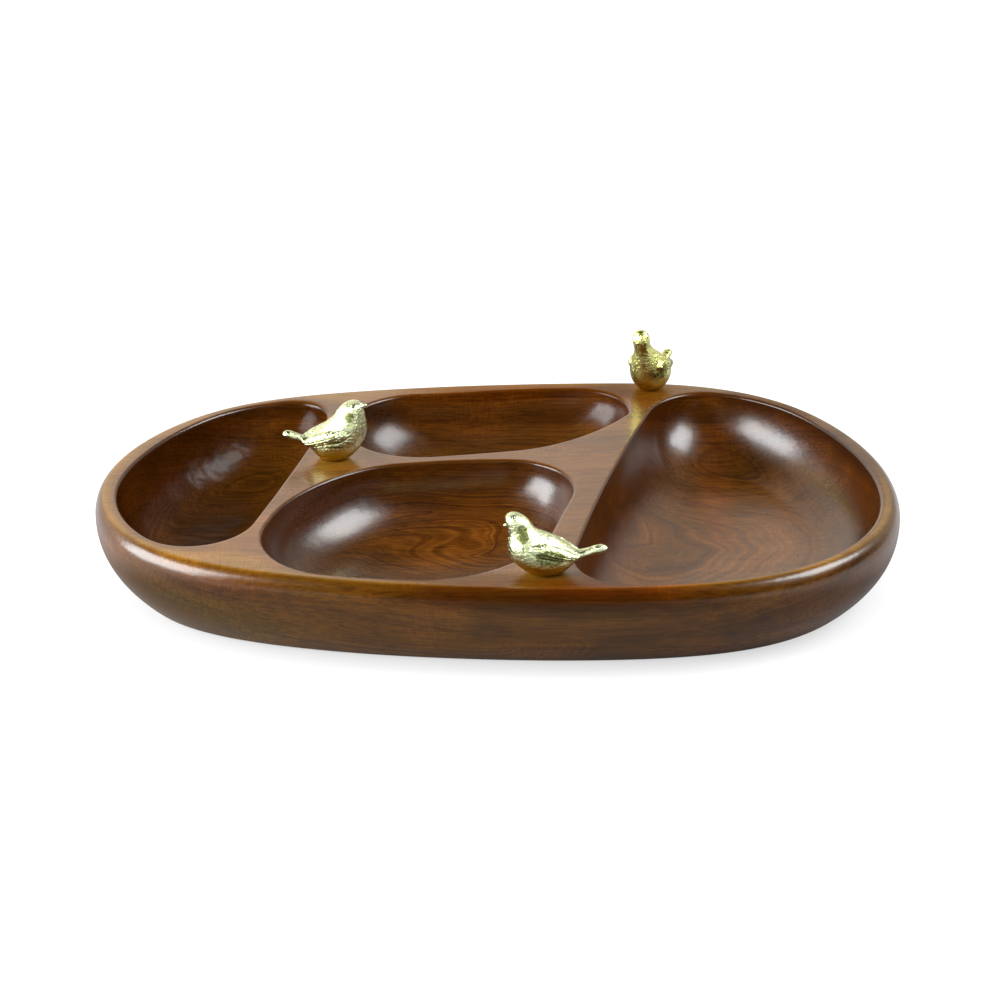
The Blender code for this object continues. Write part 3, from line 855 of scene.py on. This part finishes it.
# A swelling between the front and right compartments, from which the layers arch away in the
# floors, and a small knot in the front floor. The passages along X and Z are start, end and the
# values there.
SWELLING_X = 0.035
SWELLING_SOFTNESS = 0.0002
ARCH_BEND = (0.0, 0.05, 24.0, 0.0)
ARCH_RISE = (0.0, 0.08, 0.48, 0.32)
FLOOR_LAYERS = (0.013, 0.024, 1.0, 0.0)
KNOT = ((-0.0095, -0.0074, 0.0140), (0.016, 0.010, 0.02))
KNOT_LIFT = 0.008

# Stops of the ramps that colour the wood: place along the ramp, and the colour or grey there
LAYER_COLOURS = (
    (0.32, (0.090, 0.0265, 0.0016)),
    (0.50, (0.110, 0.0325, 0.0020)),
    (0.68, (0.130, 0.0390, 0.0026)),
)
YEAR_TONES = (
    (0.32, (0.58, 0.50, 0.42)),
    (0.48, (0.92, 0.91, 0.90)),
    (0.56, (1.08, 1.08, 1.08)),
    (0.66, (1.36, 1.36, 1.40)),
)
STREAK_TONES = (
    (0.30, (0.60, 0.56, 0.50)),
    (0.50, (1.00, 1.00, 1.00)),
    (0.72, (1.30, 1.30, 1.34)),
)
CLOUD_TONES = (
    (0.33, (0.72, 0.73, 0.70)),
    (0.50, (1.00, 1.00, 1.00)),
    (0.67, (1.26, 1.20, 1.12)),
)
FIBRE_TONES = ((0.28, (0.72,)), (0.52, (1.0,)), (0.75, (1.18,)))
MARK_TONES = ((0.35, (0.80,)), (0.65, (1.25,)))
PORE_STOPS = ((0.62, (0,)), (0.70, (1,)))
PORE_COLOUR = (0.036, 0.008, 0.001, 1)

# Where the years show most, and where the wood is calmer: middle and half sizes
FIGURED_MIDDLE = ((-0.02, 0.0, 0.02), (0.09, 0.06, 0.05))
RIGHT_FLOOR = ((0.105, -0.030, 0.01), (0.075, 0.085, 0.03))

# How strongly each pattern shows, and how much calmer the tops are
TOP_CALM = 0.55
YEARS_OUTSIDE = 0.22
YEARS_INSIDE = 0.25
YEARS_IN_MIDDLE = 0.50
YEARS_AT_RIGHT = 0.27
STREAKS = 0.85
STREAKS_LESS_AT_RIGHT = 0.45
FIBRES = 0.80
PORES = 0.45
MARKS = 0.7

# Passages along the clouds, the height and the way a face looks: start and end, and the values
# there where they aren't 0 and 1. The tops have to lie flatter to count as flat.
MARKED_CLOUDS = (0.45, 0.62)
UNEVEN_CLOUDS = (0.25, 0.5, 0.4, 1.0)
TOP_HEIGHTS = (HEIGHT - 0.0030, HEIGHT - 0.0002)
WALL_HEIGHTS = (0.006, 0.030)
END_FACING = (0.20, 0.80)
FLAT_FACING = (0.45, 0.98)
TOP_FLATTER = (0.40, 0.015)

# Places whose colour differs, several of them painted shade and light: middle, half sizes and factor on
# the colour
WOOD_REGIONS = {
    # Painted light and reflection: a lighter golden band down the wall between two highlights
    "right compartment, back wall": ((0.113, 0.055, 0.018), (0.016, 0.078, 0.045), (1.42, 1.24, 1.8)),
    "right compartment, right wall": ((0.172, 0.045, 0.032), (0.020, 0.045, 0.013), (1.35, 1.50, 1.2)),
    "right compartment, left wall": ((0.061, 0.012, 0.033), (0.012, 0.028, 0.018), (1.60, 1.65, 1.5)),
    "front floor": ((-0.029, -0.002, 0.016), (0.060, 0.036, 0.024), (1.50, 1.34, 1.5)),
    "left compartment": ((-0.145, 0.005, 0.020), (0.060, 0.085, 0.024), (0.70, 0.64, 0.80)),
    # Painted shade: a dark band under the rounded edge at the front
    "edge below the front rim": ((0.020, -0.122, 0.042), (0.130, 0.016, 0.011), (0.62, 0.50, 0.40)),
    # Painted shade: the right rim and its rounded edge darker
    "right rim": ((0.190, 0.045, 0.047), (0.050, 0.085, 0.010), (0.40, 0.38, 0.45)),
    # Painted shade: the front rim and its rounded edge darker, with less of the painted pale reflection
    "front rim": ((0.035, -0.121, 0.047), (0.100, 0.013, 0.012), (0.80, 0.52, 0.3)),
    "right outer wall": ((0.130, -0.100, 0.018), (0.090, 0.060, 0.030), (1.50, 1.35, 1.2)),
    "left outer wall": ((-0.150, -0.090, 0.018), (0.090, 0.070, 0.030), (0.58, 0.77, 1.5)),
    # Painted shade: a dark band under the highlight on the rounded edge at the left
    "edge below the left rim": ((-0.135, -0.104, 0.038), (0.060, 0.034, 0.009), (0.62, 0.50, 0.40)),
    # Painted shade: a dark line along the rounded edge at the left end
    "edge at the left end": ((-0.197, -0.020, 0.041), (0.012, 0.060, 0.007), (0.62, 0.50, 0.40)),
    "right floor": ((0.110, 0.010, 0.010), (0.070, 0.070, 0.016), (1.25, 1.22, 0.9)),
    "back compartment": ((0.000, 0.080, 0.025), (0.060, 0.040, 0.030), (0.74, 0.74, 0.72)),
    "back rim": ((0.015, 0.113, 0.047), (0.095, 0.018, 0.008), (1.05, 0.88, 0.3)),
    "back rim at the right": ((0.131, 0.104, 0.047), (0.032, 0.022, 0.008), (0.50, 0.47, 0.5)),
    "rim where it turns": ((0.157, 0.085, 0.047), (0.022, 0.022, 0.008), (0.50, 0.47, 0.5)),
    # Painted shadow of the back bird on the top at its foot
    "foot of the back bird": ((0.076, 0.104, 0.047), (0.024, 0.018, 0.008), (0.70, 0.60, 0.3)),
    "right rim at the front": ((0.190, -0.045, 0.047), (0.030, 0.045, 0.010), (0.88, 1.00, 1.7)),
    "foot of the left ridge": ((-0.118, -0.055, 0.047), (0.035, 0.030, 0.008), (1.45, 1.45, 1.5)),
    "right floor at the back": ((0.135, 0.058, 0.012), (0.040, 0.030, 0.014), (1.45, 1.45, 1.5)),
    "right floor by the ridge": ((0.070, -0.046, 0.014), (0.032, 0.026, 0.014), (1.50, 1.55, 1.7)),
}

# Factors on the colour: end grain, painted shade inside the compartments, the outer wall at its
# foot, painted lighter for light from the floor, and above, and painted light and a pale painted
# reflection on what lies flat, below and on top
END_GRAIN = (0.62, 0.54, 0.48, 1)
CARVED_PAINTED_SHADE = (0.70, 0.67, 0.60, 1)
WALL_FOOT_PAINTED_LIGHT = (1.85, 2.25, 1.1, 1)
WALL_ABOVE = (1.12, 1.34, 0.78, 1)
FLOOR_PAINTED_LIGHT = (1.22, 1.46, 2.4, 1)
TOP_PAINTED_LIGHT_AND_REFLECTION = (1.66, 2.10, 6.0, 1)

# Where the lacquer is duller: middle, half sizes and how much. The left compartment lies
# left of a slanted line.
DULL_REGIONS = {
    "front rim": ((0.020, -0.119, 0.046), (0.125, 0.018, 0.012), 0.45),
    "back compartment at the right": ((0.058, 0.101, 0.032), (0.022, 0.022, 0.012), 0.62),
    "back rim": ((0.025, 0.113, 0.047), (0.095, 0.020, 0.008), 0.60),
    "back rim at the right": ((0.145, 0.096, 0.047), (0.042, 0.030, 0.008), 0.40),
    "back compartment at the left": ((-0.055, 0.094, 0.027), (0.025, 0.025, 0.016), 0.25),
}
LEFT_LINE_SLOPE = 0.268
LEFT_LINE = -0.110
LEFT_DULLNESS = 0.80
COAT_ROUGHNESS = 0.23
COAT_IOR = 1.52


def wood_radius(n, place, x, y, z):
    """Distance from the heart of the tree, which is the same all along one growth layer."""
    waves = n.stretched(place, SLOW_WAVE_SCALE, 2.0, 0.5)
    small = n.stretched(place, QUICK_WAVE_SCALE, 2.0, 0.45)
    side = n.math("ADD", y, HEART_SIDE)
    depth = n.math("MULTIPLY_ADD", z, LAYER_FLATNESS, HEART_DEPTH)
    radius = n.math("SQRT", n.math("MULTIPLY_ADD", side, side, n.times(depth, depth)))
    radius = n.math("MULTIPLY_ADD", n.math("SUBTRACT", waves, 0.5), SLOW_WAVE, radius)
    radius = n.math("MULTIPLY_ADD", n.math("SUBTRACT", small, 0.5), QUICK_WAVE, radius)

    ahead = n.math("SUBTRACT", x, SWELLING_X)
    arch = n.math("SQRT", n.math("MULTIPLY_ADD", ahead, ahead, SWELLING_SOFTNESS))
    bend = n.times(n.times(side, side), n.step(x, *ARCH_BEND))
    arch = n.math("MULTIPLY_ADD", arch, n.step(x, *ARCH_RISE), bend)
    radius = n.math("MULTIPLY_ADD", arch, n.step(z, *FLOOR_LAYERS), radius)
    return n.math("MULTIPLY_ADD", n.spot(place, *KNOT), KNOT_LIFT, radius)


def wood_colour(n, place, parts, inner, high, fibre, pore):
    """Stained layers, streaks and clouds, the regions that differ, painted shade in the compartments,
    painted light at the foot of the outer wall, and painted light and a pale painted reflection on what
    lies flat.
    """
    x, y, z = parts
    radius = wood_radius(n, place, x, y, z)
    years = n.layers(radius, YEARS_PER_METRE, 3.0, 0.6)
    bands = n.layers(radius, BANDS_PER_METRE, 2.0, 0.5)
    streak = n.stretched(place, STREAK_SCALE)
    cloud = n.stretched(place, CLOUD_SCALE)
    marks = n.stretched(place, SANDING_SCALE, 2.0, 0.5)

    # The tops are calmer than the rest, and the floors show the years most
    calm = n.math("MULTIPLY_ADD", high, -TOP_CALM, 1.0)
    middle = n.spot(place, *FIGURED_MIDDLE, 0.4)
    figured = n.math("MULTIPLY_ADD", middle, YEARS_IN_MIDDLE, YEARS_INSIDE)
    floor = n.spot(place, *RIGHT_FLOOR, 0.4)
    figured = n.math("MULTIPLY_ADD", floor, YEARS_AT_RIGHT, figured)
    figured = n.times(calm, n.math("MULTIPLY_ADD", inner, figured, YEARS_OUTSIDE))
    streaked = n.times(calm, n.math("MULTIPLY_ADD", floor, -STREAKS_LESS_AT_RIGHT, STREAKS))

    colour = n.ramp(bands, LAYER_COLOURS)
    colour = n.mix(figured, colour, n.ramp(years, YEAR_TONES), "MULTIPLY")
    colour = n.mix(streaked, colour, n.ramp(streak, STREAK_TONES), "MULTIPLY")
    colour = n.mix(FIBRES, colour, n.ramp(fibre, FIBRE_TONES), "MULTIPLY")
    colour = n.mix(n.times(pore, PORES), colour, PORE_COLOUR)
    colour = n.mix(calm, colour, n.ramp(cloud, CLOUD_TONES), "MULTIPLY")
    marked = n.times(n.step(cloud, *MARKED_CLOUDS), MARKS)
    colour = n.tint(marked, colour, n.ramp(marks, MARK_TONES))
    uneven = n.step(cloud, *UNEVEN_CLOUDS)
    for centre, size, shade in WOOD_REGIONS.values():
        amount = n.times(n.spot(place, centre, size, 0.25), uneven)
        colour = n.tint(amount, colour, (*shade, 1))

    # End grain drinks more stain; the compartments get painted shade, the foot of the outer wall
    # painted light, and what lies flat painted light and a pale painted reflection, most on the tops
    facing = n.add("SeparateXYZ", {0: n.add("NewGeometry").outputs["Normal"]}).outputs
    end = n.step(n.math("ABSOLUTE", facing[0]), *END_FACING)
    colour = n.tint(end, colour, END_GRAIN)
    outside = n.mix(n.step(z, *WALL_HEIGHTS), WALL_FOOT_PAINTED_LIGHT, WALL_ABOVE)
    colour = n.mix(1.0, colour, n.mix(inner, outside, CARVED_PAINTED_SHADE), "MULTIPLY")
    flat_from = n.math("MULTIPLY_ADD", high, TOP_FLATTER[0], FLAT_FACING[0])
    flat_to = n.math("MULTIPLY_ADD", high, TOP_FLATTER[1], FLAT_FACING[1])
    flat = n.step(facing[2], flat_from, flat_to)
    return n.tint(flat, colour, n.mix(high, FLOOR_PAINTED_LIGHT, TOP_PAINTED_LIGHT_AND_REFLECTION))


def lacquer(n, place, parts, inner, high, fibre):
    """A satin coat that follows the tool marks, most of all in the left compartment."""
    x, y, z = parts
    left = n.step(n.math("MULTIPLY_ADD", y, -LEFT_LINE_SLOPE, x), LEFT_LINE, LEFT_LINE + 0.008, 1.0, 0.0)
    left = n.times(n.times(left, inner), n.math("SUBTRACT", 1.0, high))
    dull = n.times(left, LEFT_DULLNESS)
    for centre, size, share in DULL_REGIONS.values():
        dull = n.math("MAXIMUM", dull, n.times(n.spot(place, centre, size, 0.5), share))

    # Soft ripples all over, fibres that show through, and gouge marks down the walls
    ripple = n.stretched(place, RIPPLE_SCALE, 2.0, 0.5)
    ripple = n.times(ripple, n.math("MULTIPLY_ADD", left, 2.3, 0.45))
    down = n.stretched(place, GOUGE_SCALE, 2.0, 0.5)
    down = n.times(down, n.step(z, 0.016, 0.026, 0.0, 0.16))
    ripple = n.math("ADD", n.math("MULTIPLY_ADD", fibre, 0.10, ripple), down)
    n.surface(
        Coat_Normal=n.bump(0.40, 0.0010, ripple),
        Coat_Weight=n.math("SUBTRACT", 1.0, dull),
        Coat_Roughness=COAT_ROUGHNESS,
        Coat_IOR=COAT_IOR,
        Specular_IOR_Level=0.0,
    )


def wood_material():
    """Dark stained wood under a satin lacquer, its grain running along X."""
    material = bpy.data.materials.new("wood")
    n = Nodes(material)
    place = n.add("TexCoord").outputs["Object"]
    parts = n.add("SeparateXYZ", {0: place}).outputs
    inner = n.add("Attribute", attribute_name="carved").outputs["Fac"]
    high = n.step(parts[2], *TOP_HEIGHTS)
    fibre = n.stretched(place, FIBRE_SCALE)
    pore = n.ramp(n.stretched(place, PORE_SCALE, 1.0, 0.4), PORE_STOPS)
    height = n.math("SUBTRACT", n.times(fibre, 0.6), n.times(pore, 0.7))
    n.surface(
        Base_Color=wood_colour(n, place, parts, inner, high, fibre, pore),
        Roughness=n.math("MULTIPLY_ADD", fibre, 0.20, 0.50),
        Normal=n.bump(0.30, 0.00010, height),
    )
    lacquer(n, place, parts, inner, high, fibre)
    return material


# Colours of the plating, of the patina in its hollows and of its painted dark reflections, and of a
# painted golden-brown reflection of the wood near the seat, and a factor on the yellower plating of the
# back bird
GOLD_COLOURS = ((0.36, (0.71, 0.77, 0.37)), (0.62, (0.87, 0.93, 0.63)))
PATINA_AND_SHADE_COLOUR = (0.13, 0.14, 0.025, 1)
SEAT_PAINTED_WOOD_REFLECTION = (0.62, 0.48, 0.06, 1)
BACK_GOLD = (0.97, 0.90, 0.52, 1)
GOLD_CLOUD_SCALE = 420.0
GRIT_SCALE = 1300.0

# Passages along the hollows and painted dark patches, the height of the painted wood reflection and
# Y: start and end, and the values there where they aren't 0 and 1
PATINA_AND_SHADE_PASSAGE = (0.45, 1.00, 0.0, 0.92)
SEAT_HEIGHTS = (HEIGHT + 0.0045, HEIGHT + 0.0100, 1.0, 0.0)
BACK_BIRD_PLACES = (0.080, 0.090)


def gold_material():
    """Pale gold plating over a rough casting, darker in its hollows and in painted dark reflections,
    with a painted reflection of the wood near its seat.
    """
    material = bpy.data.materials.new("gold")
    n = Nodes(material)
    place = n.add("TexCoord").outputs["Object"]
    _, y, z = n.add("SeparateXYZ", {0: place}).outputs
    cloud = n.noise(place, GOLD_CLOUD_SCALE, 2.0, 0.6)
    grit = n.noise(place, GRIT_SCALE, 3.0, 0.65)
    colour = n.ramp(cloud, GOLD_COLOURS)
    colour = n.tint(n.step(y, *BACK_BIRD_PLACES), colour, BACK_GOLD)
    hollow_patina_and_painted_shade = n.add("Attribute", attribute_name="hollow_patina_and_painted_shade").outputs["Fac"]
    patina_and_shade_amount = n.math("MULTIPLY_ADD", n.math("SUBTRACT", cloud, 0.5), 1.8, hollow_patina_and_painted_shade)
    colour = n.mix(n.step(patina_and_shade_amount, *PATINA_AND_SHADE_PASSAGE), colour, PATINA_AND_SHADE_COLOUR)
    # Painted reflection of the wood on the lower part of each bird
    seat = n.step(z, *SEAT_HEIGHTS)
    n.surface(
        Base_Color=n.mix(seat, colour, SEAT_PAINTED_WOOD_REFLECTION),
        Roughness=n.math("MULTIPLY_ADD", grit, 0.20, 0.08),
        Normal=n.bump(1.0, 0.00025, n.math("MULTIPLY_ADD", cloud, 2.0, grit)),
        Metallic=1.0,
    )
    return material


# Steel of the studs: scale of the brushing and colours
BRUSHING_SCALE = (400, 400, 9000)
STEEL_COLOURS = ((0.3, (0.46, 0.46, 0.44)), (0.7, (0.58, 0.58, 0.56)))


def steel_material():
    """Brushed steel of the hidden studs."""
    material = bpy.data.materials.new("steel")
    n = Nodes(material)
    place = n.add("TexCoord").outputs["Object"]
    streaks = n.stretched(place, BRUSHING_SCALE, 2.0, 0.5)
    n.surface(
        Base_Color=n.ramp(streaks, STEEL_COLOURS),
        Roughness=n.math("MULTIPLY_ADD", streaks, 0.2, 0.28),
        Metallic=1.0,
    )
    return material


# Floor around the dish: how brightly the camera sees it, how much of it the lacquer mirrors in
# front and at the sides (start, end and the values there), and how far and how dark a painted shadow in
# its glow reaches under the dish
FLOOR_GREY = 0.17
FLOOR_SEEN = 0.96
MIRRORED_IN_FRONT = (-0.195, -0.150, 0.0, 0.12)
MIRRORED_ASIDE = (0.190, 0.260, 0.0, 0.80)
SHADE_REACH = 0.024
SHADE_DEPTH = 0.38

# World: where it is pale, as passages to the back, upwards and to the right, and how dim the rest
# of it is
ROOM_BEHIND = (0.15, 0.70)
ROOM_LOW = (0.50, 0.80, 1.0, 0.0)
ROOM_ASIDE = (0.00, 0.10, 1.45, 0.80)
ROOM_DIM = 0.02
WARM_ROOM = (1.0, 0.955, 0.86, 1)
WHITE = (1, 1, 1, 1)


def floor_material():
    """Pale floor, seen and mirrored as white, with the dish's shadow on it, partly a painted shadow in
    its glow.
    """
    material = bpy.data.materials.new("floor")
    n = Nodes(material)
    path = n.add("LightPath").outputs
    x, y, _ = n.add("SeparateXYZ", {0: n.add("TexCoord").outputs["Object"]}).outputs
    mirrored = n.math("MAXIMUM", path["Is Glossy Ray"], path["Is Transmission Ray"])
    in_front = n.step(y, *MIRRORED_IN_FRONT)
    aside = n.step(n.math("ABSOLUTE", x), *MIRRORED_ASIDE)
    mirrored = n.times(mirrored, n.math("MAXIMUM", in_front, aside))
    seen = n.math("ADD", n.times(path["Is Camera Ray"], FLOOR_SEEN), mirrored)
    # Painted shadow: the glow darkens near the dish
    shade = n.add("AmbientOcclusion", {"Distance": SHADE_REACH}).outputs["AO"]
    glow_with_painted_shadow = n.math("MULTIPLY_ADD", shade, SHADE_DEPTH, 1 - SHADE_DEPTH)
    n.surface(
        Base_Color=(FLOOR_GREY, FLOOR_GREY, FLOOR_GREY, 1),
        Roughness=0.9,
        Emission_Color=WHITE,
        Emission_Strength=n.times(seen, glow_with_painted_shadow),
    )
    return material


def studio_world():
    """White where the camera looks, pale behind the dish, dim overhead and in front."""
    world = bpy.data.worlds.new("studio")
    bpy.context.scene.world = world
    n = Nodes(world)
    look = n.add("SeparateXYZ", {0: n.add("TexCoord").outputs["Generated"]}).outputs
    pale = n.times(n.step(look[1], *ROOM_BEHIND), n.step(look[2], *ROOM_LOW))
    soft = n.math("MULTIPLY_ADD", pale, n.step(look[0], *ROOM_ASIDE), ROOM_DIM)
    camera_ray = n.add("LightPath").outputs["Is Camera Ray"]
    background = n.tree.nodes["Background"].inputs
    n.put(background["Color"], n.mix(camera_ray, WARM_ROOM, WHITE))
    n.put(background["Strength"], n.math("MAXIMUM", camera_ray, soft))


# Soft lamps: azimuth with 0 behind the dish and 90 at its right, elevation, distance, width
# and height, and radiance
SOFTBOXES = {
    "right_softbox": (92, 42, 1.6, (0.98, 0.72), 13),
    "right_halo": (96, 42, 1.65, (1.9, 1.3), 0.8),
    "left_softbox": (-104, 21, 1.6, (1.55, 1.00), 14),
    "left_halo": (-98, 26, 1.65, (2.4, 1.4), 1.0),
    "front_screen": (180, 30, 1.3, (2.2, 1.6), 1.02),
}
LAMP_COLOUR = (0.95, 0.985, 1.0)


def softbox(name, azimuth, elevation, distance, size, radiance):
    """A soft rectangular lamp that faces the dish."""
    lamp = bpy.data.lights.new(name, "AREA")
    lamp.shape = "RECTANGLE"
    lamp.size, lamp.size_y = size
    lamp.energy = math.pi * size[0] * size[1] * radiance
    lamp.color = LAMP_COLOUR
    made = bpy.data.objects.new(name, lamp)
    bpy.context.scene.collection.objects.link(made)
    turn = math.radians(azimuth)
    rise = math.radians(elevation)
    flat = math.cos(rise)
    out = Vector((math.sin(turn) * flat, math.cos(turn) * flat, math.sin(rise)))
    made.location = out * distance + Vector((0, 0, HEIGHT))
    made.rotation_euler = out.to_track_quat("Z", "Y").to_euler()
    return made


# Camera: elevation, distance from the point it aims at, and lens in millimetres
ELEVATION = math.radians(25)
DISTANCE = 1.9909
AIM = Vector((0.00128, 0.07724, 0))
LENS = 136.8


def add_camera():
    """The camera in front of the dish, which looks down at it."""
    data = bpy.data.cameras.new("camera")
    data.lens = LENS
    data.sensor_width = 36
    data.clip_start = 0.05
    camera = bpy.data.objects.new("camera", data)
    bpy.context.scene.collection.objects.link(camera)
    back = Vector((0, -math.cos(ELEVATION), math.sin(ELEVATION)))
    camera.location = AIM + back * DISTANCE
    camera.rotation_euler = (math.pi / 2 - ELEVATION, 0, 0)
    bpy.context.scene.camera = camera


# The object
wood = wood_material()
gold = gold_material()
steel = steel_material()
dish = add_object("carved_dish", dish_mesh(), wood)
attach(dish, "root")
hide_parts("dish_body")
birds = []
for side in PLACES:
    birds.append(cast_bird(side, gold))
    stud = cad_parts[f"stud_{side}"]
    for slot in stud.material_slots:
        slot.material = steel

# Its surroundings
grid = bmesh.new()
bmesh.ops.create_grid(grid, x_segments=4, y_segments=4, size=4.0)
floor = add_object("floor", grid, floor_material())
studio_world()
lamps = {name: softbox(name, *values) for name, values in SOFTBOXES.items()}

# Only the polished birds mirror the large pale screen in front
mirrors = bpy.data.collections.new("birds")
for bird in birds:
    mirrors.objects.link(bird)
lamps["front_screen"].light_linking.receiver_collection = mirrors
add_camera()
bpy.context.scene.view_settings.view_transform = "Standard"
